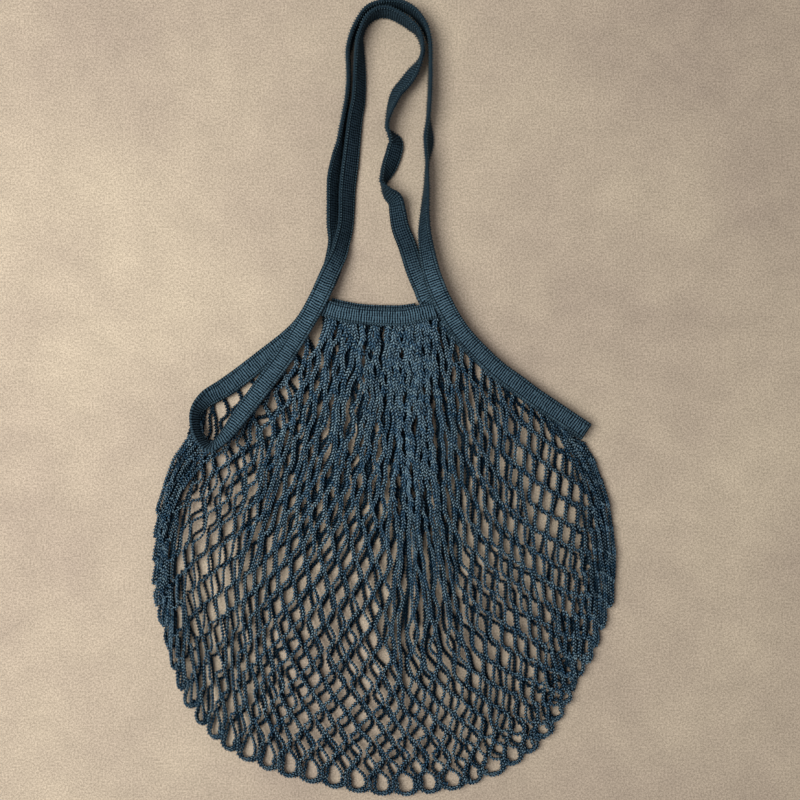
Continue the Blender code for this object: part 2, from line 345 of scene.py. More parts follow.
def stitchTree():
    tree = bpy.data.node_groups.new("stitchesAlongCords", "GeometryNodeTree")
    sockets = tree.interface
    for label, kind in (
        ("Geometry", "Geometry"), ("Stitch", "Object"), ("Stitch spacing", "Float"),
        ("Size variation", "Float"), ("Wander", "Float"), ("Seed", "Int"), ("Yarn", "Material"),
    ):
        sockets.new_socket(label, in_out="INPUT", socket_type="NodeSocket" + kind)
    sockets.new_socket("Geometry", in_out="OUTPUT", socket_type="NodeSocketGeometry")
    given = addNode(tree, "NodeGroupInput")
    result = addNode(tree, "NodeGroupOutput")
    cords = addNode(tree, "GeometryNodeMeshToCurve")
    upright = addNode(tree, "GeometryNodeSetCurveNormal", mode="Z_UP")
    leaning = addNode(tree, "GeometryNodeSetCurveTilt")
    spots = addNode(tree, "GeometryNodeCurveToPoints", mode="LENGTH")
    shape = addNode(tree, "GeometryNodeObjectInfo")
    size = addNode(tree, "FunctionNodeRandomValue", data_type="FLOAT")
    wander = addNode(tree, "FunctionNodeRandomValue", data_type="FLOAT_VECTOR")
    turned = addNode(tree, "FunctionNodeRotateRotation", rotation_space="LOCAL")
    asTurn = addNode(tree, "FunctionNodeEulerToRotation")
    placed = addNode(tree, "GeometryNodeInstanceOnPoints")
    tint = addNode(tree, "FunctionNodeRandomValue", data_type="FLOAT")
    tinted = addNode(tree, "GeometryNodeStoreNamedAttribute", data_type="FLOAT", domain="INSTANCE")
    tinted.inputs["Name"].default_value = "stitchTint"
    solid = addNode(tree, "GeometryNodeRealizeInstances")
    dyed = addNode(tree, "GeometryNodeSetMaterial")
    link = tree.links.new
    link(given.outputs["Geometry"], cords.inputs["Mesh"])
    for source, target in ((cords, upright), (upright, leaning), (leaning, spots)):
        link(source.outputs["Curve"], target.inputs["Curve"])
    link(readAttribute(tree, "roll"), leaning.inputs["Tilt"])
    link(given.outputs["Stitch spacing"], spots.inputs["Length"])
    link(given.outputs["Stitch"], shape.inputs["Object"])
    link(calculate(tree, "SUBTRACT", 1.0, given.outputs["Size variation"]), size.inputs[2])
    link(calculate(tree, "ADD", 1.0, given.outputs["Size variation"]), size.inputs[3])
    link(calculate(tree, "MULTIPLY", given.outputs["Wander"], -1.0), wander.inputs[0])
    link(given.outputs["Wander"], wander.inputs[1])
    for chance in (size, wander, tint):
        link(given.outputs["Seed"], chance.inputs["Seed"])
    link(wander.outputs[0], asTurn.inputs[0])
    link(spots.outputs["Rotation"], turned.inputs["Rotation"])
    link(asTurn.outputs[0], turned.inputs["Rotate By"])
    link(spots.outputs["Points"], placed.inputs["Points"])
    link(shape.outputs["Geometry"], placed.inputs["Instance"])
    link(turned.outputs[0], placed.inputs["Rotation"])
    scale = calculate(tree, "MULTIPLY", size.outputs[1], readAttribute(tree, "plump"))
    link(scale, placed.inputs["Scale"])
    link(placed.outputs["Instances"], tinted.inputs["Geometry"])
    link(tint.outputs[1], tinted.inputs["Value"])
    link(given.outputs["Yarn"], dyed.inputs["Material"])
    for source, target in ((tinted, solid), (solid, dyed), (dyed, result)):
        link(source.outputs["Geometry"], target.inputs["Geometry"])
    return tree


stitchesAlongCords = stitchTree()


def setStitches(name, paths, rolls, plump, stitch, yarn, settings, seed):
    # paths are in mm; every path becomes one row of stitches
    spacing = settings["spacing"]
    chance = np.random.default_rng(seed)
    for path in paths:  # no two rows start in step
        run = path[0] - path[1]
        path[0] += run / max(np.linalg.norm(run), 0.01) * chance.uniform(0, spacing)
    points = np.vstack(paths) * mm
    edges, first = [], 0
    for path in paths:
        edges += [(first + step, first + step + 1) for step in range(len(path) - 1)]
        first += len(path)
    mesh = bpy.data.meshes.new(name + "Cords")
    mesh.from_pydata(points.tolist(), edges, [])
    for label, values in (("roll", rolls), ("plump", plump)):
        along = mesh.attributes.new(label, "FLOAT", "POINT")
        along.data.foreach_set("value", np.concatenate(values).astype(np.float32))
    carrier = addObject(name + "Cords", mesh)
    modifier = carrier.modifiers.new("stitches", "NODES")
    modifier.node_group = stitchesAlongCords
    given = {
        "Stitch": stitch, "Stitch spacing": spacing * mm, "Size variation": settings["variation"],
        "Wander": settings["wander"], "Seed": seed, "Yarn": yarn,
    }
    for item in stitchesAlongCords.interface.items_tree:
        if item.in_out == "INPUT" and item.name in given:
            modifier[item.identifier] = given[item.name]
    shown = bpy.context.evaluated_depsgraph_get()
    result = bpy.data.meshes.new_from_object(carrier.evaluated_get(shown), depsgraph=shown)
    result.name = name
    bpy.data.objects.remove(carrier)
    smoothFaces(result)
    return addObject(name, result)


netSettings = {
    "columns": 32,  # meshes across one layer
    "halfRows": 29,
    "sideLength": 16.6,  # of cord between two knots
    "knotLength": 4.6,
    "bandFrom": 9,  # the columns held by the band
    "bandTo": 22.5,
    "openingDepth": 7.0,  # how many rows lower the net starts at the ends of the side openings
    "waves": 9, "waveLengths": (22, 60),  # slow wander of the knots from their places
    "frontWander": 1.4, "backWander": 2.6,
    "jitter": 1.0,
    "rounds": 120,  # of drawing long sides back to their length
}
netStitches = {"spacing": 2.7, "variation": 0.06, "wander": 0.10}
fullTurn = 6.28  # for phases drawn by chance

# Columns of the front layer, as places at even steps from the mouth to the bottom:
# number of the column, then x, y in mm
frontColumns = [
    (0, (-157, -21), (-178, -47), (-189, -76), (-193.5, -106), (-195, -137), (-194, -166)),
    (1.6, (-154, -30), (-170, -54), (-183, -86), (-189, -119), (-189, -154), (-189, -190)),
    (3, (-147, -38), (-162, -60), (-180, -93), (-186, -132), (-184, -174), (-182, -216)),
    (4.2, (-132, -28), (-144, -58), (-166, -98), (-179, -143), (-177, -189), (-175, -239)),
    (5.4, (-117, -7), (-123, -50), (-144, -97), (-166, -147), (-167, -200), (-167, -257)),
    (6.5, (-102, 12), (-105, -36), (-125, -92), (-149, -150), (-155, -210), (-156, -273)),
    (7.5, (-83, 37), (-90, -25), (-111, -90), (-133, -153), (-143, -219), (-145, -285)),
    (9, (-50, 70), (-68, -14), (-92, -93), (-115, -167), (-124, -238), (-126, -300)),
    (11, (-31, 67), (-46, -19), (-69, -102), (-90, -183), (-100, -253), (-92, -315)),
    (13, (-14, 65), (-24, -24), (-42, -110), (-57, -193), (-65, -265), (-55, -325)),
    (14.5, (-2, 64), (-8, -26), (-21, -114), (-32, -198), (-34, -271), (-25, -331)),
    (16, (8, 64), (8, -26), (3, -115), (-4, -203), (-3, -274), (6, -334)),
    (18, (19, 65.5), (20, -26), (21, -115), (20, -205), (30, -274), (46, -331)),
    (20, (29, 67.5), (33, -23), (38, -112), (45, -203), (64, -266), (82, -321)),
    (22.5, (40, 70), (51, -16), (60, -106), (75, -191), (98, -250), (122, -298)),
    (24, (58, 54), (71, -22), (81, -104), (101, -179), (119, -236), (140, -278)),
    (25.5, (80, 35), (94, -31), (102, -104), (120, -168), (137, -222), (153, -256)),
    (27, (103, 15), (114, -40), (121, -102), (135, -158), (150, -207), (160, -238)),
    (28.5, (125, -4), (137, -46), (146, -99), (159, -148), (166, -190), (170, -222)),
    (30, (143, -20), (162, -51), (173, -91), (177, -126), (180, -164), (179, -202)),
    (32, (155, -31.5), (171, -44), (184, -68), (191, -98), (194.5, -128), (192, -165)),
]
backMouth = [
    (-157, -21), (-160, -14), (-157, -6), (-149, 2), (-131, 14), (-111, 29), (-90, 45), (-52, 74),
    (-33, 73), (-16, 72), (-4, 72), (6, 72), (18, 73), (28, 75), (38, 76), (58, 54), (80, 35),
    (103, 15), (125, -4), (143, -20), (155, -31.5),
]


def mouthRow(column):
    low, high, depth = netSettings["bandFrom"], netSettings["bandTo"], netSettings["openingDepth"]
    width = netSettings["columns"]
    return depth * max(0.0, max(0.0, 1 - column / low) ** 0.75, (column - high) / (width - high))


backSettings = {
    "frontShare": 0.70, "evenShare": 0.30,  # how far the back is bunched as the front is
    "leftColumn": 5.6, "leftWidth": 1.8, "leftPull": (20, 9),
    "rightColumn": 28.1, "rightWidth": 2.0, "rightPull": 14,  # bunched up at the right fold
    "lowSlant": (-6, 9),  # low down its cords slant across those of the front
    "shift": (0, 0.45, 0.45, 0.40, 0.26, 0.14),  # part of a column by which its cords lie aside
}


def nearColumn(numbers, column, width):
    return np.exp(-((numbers - column) / width) ** 2)


def backColumns():
    # the back hangs more evenly than the front, and has no ridge
    front = np.array([row[1:] for row in frontColumns], float)
    even = np.empty_like(front)
    downs = np.linspace(0, 1, front.shape[1])
    for index, share in enumerate(row[0] / netSettings["columns"] for row in frontColumns):
        for step, down in enumerate(downs):
            top, low = np.array(backMouth[index]), front[index, -1]
            left, right = front[0, step], front[-1, step]
            corners = (
                front[0, 0] * (1 - share) * (1 - down) + front[-1, 0] * share * (1 - down)
                + front[0, -1] * (1 - share) * down + front[-1, -1] * share * down
            )
            even[index, step] = top * (1 - down) + low * down + left * (1 - share) + right * share - corners
    mixed = front * backSettings["frontShare"] + even * backSettings["evenShare"]
    numbers = np.array([row[0] for row in frontColumns])
    pulled = nearColumn(numbers, backSettings["leftColumn"], backSettings["leftWidth"])
    mixed[:, 1:3, 0] -= np.outer(pulled, backSettings["leftPull"])
    bunched = nearColumn(numbers, backSettings["rightColumn"], backSettings["rightWidth"])
    mixed[:, 1:4, 0] += backSettings["rightPull"] * bunched[:, None]
    mixed[:, 0] = backMouth
    mixed[0], mixed[-1] = front[0], front[-1]
    inside = np.sin(math.pi * numbers / netSettings["columns"]) ** 0.5
    mixed[:, 3:5, 0] += np.outer(inside, backSettings["lowSlant"])
    for step, most in enumerate(backSettings["shift"]):
        mixed[:, step] = readCurve(numbers, mixed[:, step], numbers + inside * most)
    return mixed


def layoutNet(places):
    # places of the knots of one layer, keyed by half column and half row
    numbers = [row[0] for row in frontColumns]
    halfColumns = 2 * netSettings["columns"]
    rows = netSettings["halfRows"] / 2
    spread = readCurve(numbers, places.reshape(len(numbers), -1), np.arange(halfColumns + 1) / 2)
    spread = spread.reshape(halfColumns + 1, -1, 2)
    shares = np.linspace(0, 1, spread.shape[1])

    def placeAt(halfColumn, row):
        low = min(int(math.floor(halfColumn)), halfColumns - 1)
        part = halfColumn - low
        line = spread[low] * (1 - part) + spread[low + 1] * part
        start = mouthRow(halfColumn / 2)
        return readCurve(shares, line, [(row - start) / (rows - start)])[0]

    knots = {}
    for halfColumn in range(halfColumns + 1):
        for halfRow in range(netSettings["halfRows"] + 1):
            if (halfColumn + halfRow) % 2 == 0 and halfRow / 2 >= mouthRow(halfColumn / 2):
                knots[(halfColumn, halfRow)] = placeAt(halfColumn, halfRow / 2)
    return knots, placeAt


def isFree(column, row):
    # knots at the folds, the bottom and the mouth stay where they are laid
    inside = 0 < column < 2 * netSettings["columns"] and row < netSettings["halfRows"]
    return inside and row / 2 > mouthRow(column / 2) + 0.6


def relaxNet(knots, chance, wander):
    # no side of a mesh is longer than its cord; what is slack stays slack
    keys = list(knots)
    index = {key: number for number, key in enumerate(keys)}
    start = np.array([knots[key] for key in keys])
    waves = [
        (
            chance.uniform(-1, 1, 2) / chance.uniform(*netSettings["waveLengths"]),
            chance.uniform(0, fullTurn), chance.uniform(-1, 1, 2),
        )
        for _ in range(netSettings["waves"])
    ]
    free = np.array([isFree(*key) for key in keys])[:, None]
    for turn, phase, push in waves:
        start = start + (np.sin(start @ turn + phase)[:, None] * push * wander) * free
    start = start + chance.normal(0, netSettings["jitter"], start.shape) * free
    now = start.copy()
    pairs = np.array([
        (index[key], index[(key[0] + side, key[1] + 1)])
        for key in keys for side in (-1, 1) if (key[0] + side, key[1] + 1) in index
    ])
    limit = netSettings["sideLength"]
    for _ in range(netSettings["rounds"]):
        gap = now[pairs[:, 1]] - now[pairs[:, 0]]
        length = np.linalg.norm(gap, axis=1)
        pull = gap * ((np.maximum(length - limit, 0) / np.maximum(length, 0.01)) * 0.5)[:, None]
        move, count = np.zeros_like(now), np.ones(len(now))
        np.add.at(move, pairs[:, 0], pull)
        np.add.at(move, pairs[:, 1], -pull)
        np.add.at(count, pairs.ravel(), np.repeat(length > limit, 2))
        now += (move / count[:, None] * 1.6 + (start - now) * 0.02) * free  # eager, but drawn back a little
    return {key: now[number] for key, number in index.items()}


netHeights = {
    "foldWidth": 0.02, "bottomRows": 1.3,  # where the two layers meet
    "bundleWidth": 0.11, "bundleDrop": 2.0, "bundleRipple": 0.9,  # the net bunched along both folds
    "ridgeAt": 28, "ridgeWidth": 24, "ridgeHeight": 3.2, "ridgeRows": 26,  # net raised below the band
    "lowest": 2.5,
    "spread": 0.3, "mostSpread": 0.5,  # by chance, for a whole cord and for each of its knots
    "frontRide": 1.6, "backRide": 0.5,  # gathered cords ride over each other
}


def layerHeight(place, halfColumn, halfRow, inFront):
    share = halfColumn / (2 * netSettings["columns"])
    nearFold = min(share, 1 - share)
    fold = math.exp(-(nearFold / netHeights["foldWidth"]) ** 2)
    bottom = math.exp(-((netSettings["halfRows"] - halfRow) / netHeights["bottomRows"]) ** 2)
    middle = (bagSettings["backNet"] + bagSettings["frontNet"]) / 2
    base = bagSettings["frontNet"] if inFront else bagSettings["backNet"]
    bundle = math.exp(-(nearFold / netHeights["bundleWidth"]) ** 4)
    if inFront:
        base -= netHeights["bundleDrop"] * bundle
        ridge = math.exp(-(((place[0] - netHeights["ridgeAt"]) / netHeights["ridgeWidth"]) ** 2))
        along = math.sin(math.pi * min(1.0, halfRow / netHeights["ridgeRows"])) ** 0.5
        base += netHeights["ridgeHeight"] * ridge * along
    joined = max(fold, bottom)
    ripple = bundle * math.sin(halfColumn * 2.1) * netHeights["bundleRipple"]
    return base * (1 - joined) + middle * joined + ripple


def chanceLift(chance):
    most = netHeights["mostSpread"]
    return np.clip(chance.normal(0, netHeights["spread"]), -most, most)


cordSettings = {
    "swingLengths": (3.6, 7.5),
    "gatheredWithin": 6,  # cords closer than this are bunched
    "openReach": 0.9, "mouthReach": 1.8, "bunchReach": 2.6, "mouthFrom": 15,  # how far knots swing aside
    "evenCords": 7,  # cords beside a fold that swing less, so the outline stays even
    "leastAside": 1.7, "mostAside": 2.3, "touching": 5.5,  # a knot's two cords lie side by side
    "slackFrom": 2.5, "sagShare": 0.42, "mostSag": 3.6, "sagSpread": 0.3, "sagLift": 0.4,
    "endLoop": ((0.82, 0.80), (0.86, 0.40), (0.56, 0.07), (0.0, 0.0)),  # over and up, in shares
    "loopRoom": 2.0, "loopDepth": 12.0,  # least half width and greatest depth of that loop
    "bunchSway": 0.95, "bunchAround": (4, 58, -120, 25),  # middle, half width, lower end and its softness
    "roll": 0.06, "mostRoll": 0.5,
    "gathered": 0.26, "gatheredAround": (-30, 90, -120, 25),  # fuller yarn
    "underBand": 0.12, "bandAround": (-5, 60, 15, 12),
    "thinLeft": 0.19, "leftAt": (-160, -160), "leftSize": (40, 110),  # thinner yarn
}


def knotsAt(knots, *keys):
    return [knots[key] for key in keys if key in knots]


def knotFrame(knots, column, halfRow, other):
    # down the net, over to the next cord, and how far off that cord runs
    knot = knots[(column, halfRow)]
    above = knotsAt(knots, (column - 1, halfRow - 1), (column + 1, halfRow - 1))
    below = knotsAt(knots, (column - 1, halfRow + 1), (column + 1, halfRow + 1))
    down = (np.mean(below, axis=0) if below else knot) - (np.mean(above, axis=0) if above else knot)
    down = down / max(np.linalg.norm(down), 0.01)
    over = np.array((-down[1], down[0]))
    beside = knotsAt(knots, (other, halfRow + 1), (other, halfRow - 1))
    if not beside:
        return down, over, 9.0
    apart = np.dot(np.mean(beside, axis=0) - knot, over)
    return down, -over if apart < 0 else over, abs(apart)


def startUnderTape(placeAt, column, other, halfRow):
    # where the leg above a cord's first knot meets the middle of the binding
    start, end = halfRow / 2 - 0.5, halfRow / 2
    for _ in range(12):
        middle = (start + end) / 2
        where = column + (other - column) * (halfRow / 2 - middle) * 2
        start, end = (middle, end) if middle < mouthRow(where / 2) else (start, middle)
    where = column + (other - column) * (halfRow / 2 - end) * 2
    return placeAt(where, max(end, mouthRow(where / 2)))


def aroundLine(path, centre, width, above, softness):
    # 1 around an upright line and above a height, fading to 0 away from there
    return np.exp(-(((path[:, 0] - centre) / width) ** 4)) / (1 + np.exp(-(path[:, 1] - above) / softness))


def plumpness(path):
    # how full the yarn is along a cord
    gathered = aroundLine(path, *cordSettings["gatheredAround"])
    underBand = aroundLine(path, *cordSettings["bandAround"])
    away = (path[:, :2] - cordSettings["leftAt"]) / cordSettings["leftSize"]
    atLeft = np.exp(-(away[:, 0] ** 2) - away[:, 1] ** 2)
    full = 1.0 + cordSettings["gathered"] * gathered + cordSettings["underBand"] * underBand
    return full - cordSettings["thinLeft"] * atLeft


def cordPaths(knots, placeAt, chance, inFront):
    # each cord zigzags down the net, side by side with one neighbour at every knot
    halfColumns, halfRows = 2 * netSettings["columns"], netSettings["halfRows"]
    half = netSettings["knotLength"] / 2
    ride = netHeights["frontRide" if inFront else "backRide"]
    paths, rolls, plump = [], [], []
    for cord in range(halfColumns):
        points, last = [], None
        lift = chanceLift(chance)
        swing, wave = chance.uniform(0, fullTurn), chance.uniform(*cordSettings["swingLengths"])
        freely = min(1.0, min(cord, halfColumns - 1 - cord) / cordSettings["evenCords"])
        for halfRow in range(halfRows + 1):
            column, other = (cord, cord + 1) if (cord + halfRow) % 2 == 0 else (cord + 1, cord)
            if (column, halfRow) not in knots:
                continue
            knot = knots[(column, halfRow)]
            down, over, apart = knotFrame(knots, column, halfRow, other)
            aside = cordSettings["leastAside"]
            if apart < cordSettings["touching"]:
                aside = min(max(apart / 2, aside), cordSettings["mostAside"])
            if halfRow < halfRows:
                bunch = "mouthReach" if knot[1] > cordSettings["mouthFrom"] else "bunchReach"
                reach = cordSettings["openReach" if apart >= cordSettings["gatheredWithin"] else bunch]
                knot = knot + over * reach * freely * math.sin(swing + knot[1] / wave)
            height = layerHeight(knot, column, halfRow, inFront) + lift + chanceLift(chance)
            if apart < cordSettings["gatheredWithin"]:
                height += ride * math.sin(3 * swing + knot[1] / wave)
            height = max(height, netHeights["lowest"])
            if not points:
                top = knot + over * aside
                if halfRow > 0:
                    top = startUnderTape(placeAt, column, other, halfRow)
                points.append((*top, height))
            if last is not None:
                chord = knot - last
                slack = netSettings["sideLength"] - np.linalg.norm(chord)
                if slack > cordSettings["slackFrom"]:  # a slack side sags into a shallow loop
                    sag = min(cordSettings["mostSag"], cordSettings["sagShare"] * slack)
                    sag = sag * abs(chord[0]) / max(np.linalg.norm(chord), 0.01)
                    low = (knot + last) / 2 + np.array((0, -sag))
                    low = low + chance.normal(0, cordSettings["sagSpread"], 2)
                    points.append((*low, height + cordSettings["sagLift"]))
            if halfRow == halfRows:  # the last row turns round in a loop
                upper = knots[(other, halfRow - 1)] - knot
                room = max(abs(np.dot(upper, over)), cordSettings["loopRoom"])
                depth = min(abs(np.dot(upper, down)), cordSettings["loopDepth"])
                for share, rise in cordSettings["endLoop"]:
                    points.append((*(knot + over * room * share - down * depth * rise), height))
            else:
                if halfRow > 0:
                    points.append((*(knot - down * half + over * aside), height))
                points.append((*(knot + down * half + over * aside), height))
            last = knot
        if len(points) < 4:
            continue
        path = roundedPath(points)
        bunched = aroundLine(path, *cordSettings["bunchAround"])
        sway = np.sin(2.3 * swing + path[:, 1] / (0.55 * wave))
        path[:, 0] += cordSettings["bunchSway"] * bunched * sway
        paths.append(path)
        roll = np.cumsum(chance.normal(0, cordSettings["roll"], len(path)))
        roll = roll - np.linspace(0, roll[-1], len(path))
        rolls.append(np.clip(roll, -cordSettings["mostRoll"], cordSettings["mostRoll"]))
        plump.append(plumpness(path))
    return paths, rolls, plump


sideStitch = stitchShape("sideStitch", [
    ((-0.35, 0.5, -1.75), (1.80, 0.7, 1.15), 0.64, 0.80, 0.85, 1.0),
    # this leg's last number is lower, so it is painted darker than the first: painted shade on one side of
    # the cord
    ((0.35, 0.5, -0.40), (-1.80, 0.7, 2.50), 0.64, 0.80, 0.85, 0.85),
# the core: a near-black spindle of painted shade behind the legs
], shadeCore=((0, 0.6, -2.1), (0, 0.6, 2.1), 2.1, 0.9, 0.0, 1.0))

netPieces = []
chance = np.random.default_rng(bagSettings["seed"])
frontPlaces = np.array([row[1:] for row in frontColumns], float)
for layer, places, wander in (
    ("Front", frontPlaces, netSettings["frontWander"]), ("Back", backColumns(), netSettings["backWander"]),
):
    knots, placeAt = layoutNet(places)
    knots = relaxNet(knots, chance, wander)
    paths, rolls, plump = cordPaths(knots, placeAt, chance, layer == "Front")
    half = len(paths) // 2
    for side, chosen in (("Left", slice(0, half)), ("Right", slice(half, None))):
        piece = setStitches(
            "net" + layer + side, paths[chosen], rolls[chosen], plump[chosen],
            sideStitch, netYarn, netStitches, seed=5 + len(netPieces),
        )
        netPieces.append(piece)
        print(piece.name, len(piece.data.polygons), "faces")
print("net made")


tapeSettings = {
    "width": 16.0,
    "bandWidth": 14.3,
    "thickness": 2.8,
    "ribHeight": 0.14,
    "ringStep": 0.42,
    "waves": 4, "waveLengths": (9, 30), "waveHeights": (0.1, 0.22),  # the tape is not quite even
    "seamInset": 1.5, "seamDepth": 0.15,  # of the sewing, from the edge and from the face
}

onBackNet = 3.3  # undersides of the tapes
frontNetUnder = 6.6
onFrontNet = 9.9
onBand = 13.2

# Routes of the tapes: x, y, underside, lean in degrees; at 0 the tape lies flat, at 90 it
# stands on its edge with the side to the left of its run upwards
footFrontLeft = (-54.5, 87, onBand, 0)
footFrontRight = (47, 82, onBand, 0)
footBackLeft = (-61.5, 76.5, onBackNet, 0)
footBackRight = (35.5, 83.5, onBackNet, 0)
handleInnerRoute = [
    footFrontLeft, (-46, 107, 9.0, 20), (-40, 120, 5.5, 30), (-37, 131, 2.5, 38),
    (-33.5, 149, 0, 42), (-32.5, 176, 0, 38), (-29.5, 203, 0, 34), (-26, 235, 0, 46),
    (-23, 252, 0, 52), (-22, 275, 0, 56), (-22, 297, 0, 72), (-20.5, 308, 0, 86),
    (-16, 318, 0, 86), (-7.5, 324.5, 0, 82), (2, 325, 0, 80), (11, 321, 0, 80),
    (19.5, 315.5, 0, 82), (26.5, 309, 0, 88), (30, 301, 0, 90), (31, 293, 0, 90),
    (28, 284, 0, 74), (22.5, 275, 0, 50), (16, 266, 0, 44), (9.5, 258, 0, 50),
    (5, 247, 0, 64), (2, 236, 0, 82), (1.2, 229, 0, 90), (4.5, 222.5, 0, 114), (8.2, 216, 0, 138),
    (6.6, 207, 0, 144), (3.2, 197, 0, 138), (-1, 187, 0, 114), (-3, 180, 0, 92),
    (2, 172.5, 0, 64), (8, 167, 0, 44), (10, 157, 0, 30), (12.5, 144, 0, 16), (18, 130, 0, 5),
    (24.5, 110, 0, 0), (31, 94, 1.5, 0), footBackRight,
]
handleOuterRoute = [
    footBackLeft, (-54.5, 90.5, 1.5, 0), (-47, 106.5, 0, 3),
    (-43, 121, 0, 8), (-41.5, 133.5, 0, 26), (-43.5, 146, 0, 44), (-44, 163, 0, 52),
    (-43.5, 184, 0, 52), (-40.5, 202, 0, 60), (-38, 214, 0, 72), (-35.5, 234, 0, 86),
    (-33, 250, 0, 90), (-31.5, 264, 0, 90), (-31.5, 276, 0, 90), (-31.5, 293, 0, 88),
    (-26, 310, 0, 84), (-16, 325.5, 0, 84), (-3, 331, 0, 84), (8.5, 331.5, 0, 84),
    (17, 329, 0, 84), (25.5, 323, 0, 84), (32.5, 313.5, 0, 86), (36.5, 302.5, 0, 90),
    (37.5, 290, 0, 90), (37, 260, 0, 86), (36, 240, 0, 90), (36, 220, 0, 118),
    (35, 206, 0, 104), (34.5, 196, 0, 90), (34, 176, 0, 80), (32.5, 154, 0.5, 66), (32.5, 138, 3.2, 52),
    (35, 120, 6.2, 36), (38.5, 104, 9.6, 20), (43, 91, 12.6, 6), footFrontRight,
]
bindingLeftRoute = [
    footFrontLeft, (-62.5, 71.5, onBand, 0), (-69, 60.5, 12.6, 0),
    (-79.5, 44, onFrontNet, 0), (-89.5, 29, onFrontNet, 4), (-101.5, 12.5, onFrontNet, 14),
    (-113, -3, 9.6, 24), (-124, -17.5, 9.2, 32), (-134.5, -31.5, 8.4, 48),
    (-146, -40, 7.0, 66), (-155.5, -33, 5.6, 74), (-159.5, -20.5, 4.6, 74), (-158, -9, 4.0, 64),
    (-150, 0.5, 3.6, 38), (-137, 8.5, onBackNet, 12), (-122, 19.5, onBackNet, 0),
    (-102, 35, onBackNet, 0), (-83, 50, onBackNet, 0), (-70.5, 62.5, onBackNet, 0), footBackLeft,
]
bindingRightRoute = [
    footFrontRight, (55, 67, onBand, 0), (66, 51.5, 12.0, 0),
    (82.5, 34.5, onFrontNet, 0), (95, 23, onFrontNet, 0), (109.5, 12.5, onFrontNet, 0),
    (125, 1, onFrontNet, 0), (142.5, -10.5, onFrontNet, 0), (159, -21.5, onFrontNet, 0),
    (165, -25.5, onFrontNet, 0), (168, -27.5, frontNetUnder, 0), (165, -25.5, onBackNet, 0),
    (159, -21.5, onBackNet, 0), (142.5, -10.5, onBackNet, 0), (125, 1, onBackNet, 0),
    (109.5, 12.5, onBackNet, 0), (95, 23, onBackNet, 0), (82.5, 34.5, onBackNet, 0),
    (66, 50, onBackNet, 0), (50, 66, onBackNet, 0), footBackRight,
]
bandFrontRoute = [
    (-53.5, 77, onFrontNet, 0), (-37.5, 72, onFrontNet, 0), (-16.5, 69, onFrontNet, 0),
    (11.5, 68, onFrontNet, 0), (25, 70.5, onFrontNet, 0), (42, 74.5, onFrontNet, 0),
]
bandBackRoute = [
    (-47, 78.5, onBackNet, 0), (-33, 75, onBackNet, 0), (-16, 72.5, onBackNet, 0),
    (11, 72, onBackNet, 0), (26, 74, onBackNet, 0),
]


def followRoute(rows, width, before, after):
    # distances, middles and directions over and out of the tape, at even steps along its route;
    # before and after are the places that it comes from and goes on to
    first = 1 if before else 0
    whole = np.array(([before] if before else []) + rows + ([after] if after else []), float)
    last = len(whole) - 1
    middles, overs = [], []
    sideways = None
    for index in range(first, first + len(rows) - 1):
        # a smooth curve between the middle two of four places
        ends = [whole[min(max(index + step, 0), last)] for step in (-1, 0, 1, 2)]
        rise = ends[2] - ends[0]
        bend = 2 * ends[0] - 5 * ends[1] + 4 * ends[2] - ends[3]
        twist = 3 * ends[1] - 3 * ends[2] + ends[3] - ends[0]
        steps = max(4, int(np.linalg.norm((ends[2] - ends[1])[:3]) / 0.3))
        for part in np.arange(steps + (index == first + len(rows) - 2)) / steps:
            x, y, under, lean = ends[1] + (rise * part + bend * part ** 2 + twist * part ** 3) / 2
            dx, dy, climb, _ = (rise + 2 * bend * part + 3 * twist * part ** 2) / 2
            if sideways is None or math.hypot(dx, dy) > abs(climb):
                turned = np.array((-dy, dx, 0)) / max(math.hypot(dx, dy), 0.001)
                sideways = -turned if sideways is not None and turned @ sideways < 0 else turned
            angle = math.radians(lean)
            tall = (width * abs(math.sin(angle)) + tapeSettings["thickness"] * abs(math.cos(angle))) / 2
            middles.append((x, y, max(under, 0.2) + tall))
            overs.append(sideways * math.cos(angle) + np.array((0, 0, math.sin(angle))))
    middles, overs = np.array(middles), np.array(overs)
    lengths = np.concatenate([[0], np.cumsum(np.linalg.norm(np.diff(middles, axis=0), axis=1))])
    count = int(lengths[-1] / tapeSettings["ringStep"])
    even = np.linspace(0, lengths[-1], count + 1)
    middles = np.stack([np.interp(even, lengths, middles[:, axis]) for axis in range(3)], axis=1)
    overs = np.stack([np.interp(even, lengths, overs[:, axis]) for axis in range(3)], axis=1)
    runs = np.gradient(middles, axis=0)
    runs /= np.linalg.norm(runs, axis=1)[:, None]
    outs = np.cross(runs, overs)
    outs /= np.linalg.norm(outs, axis=1)[:, None]
    overs = np.cross(outs, runs)
    return even, middles, overs, outs


# half of the section of a tape: share of the width, share of half the thickness
tapeSection = [
    (-0.5, 0.0), (-0.486, 0.6), (-0.42, 0.88), (0.0, 0.92), (0.40, 1.0), (0.48, 0.7), (0.5, 0.0),
]


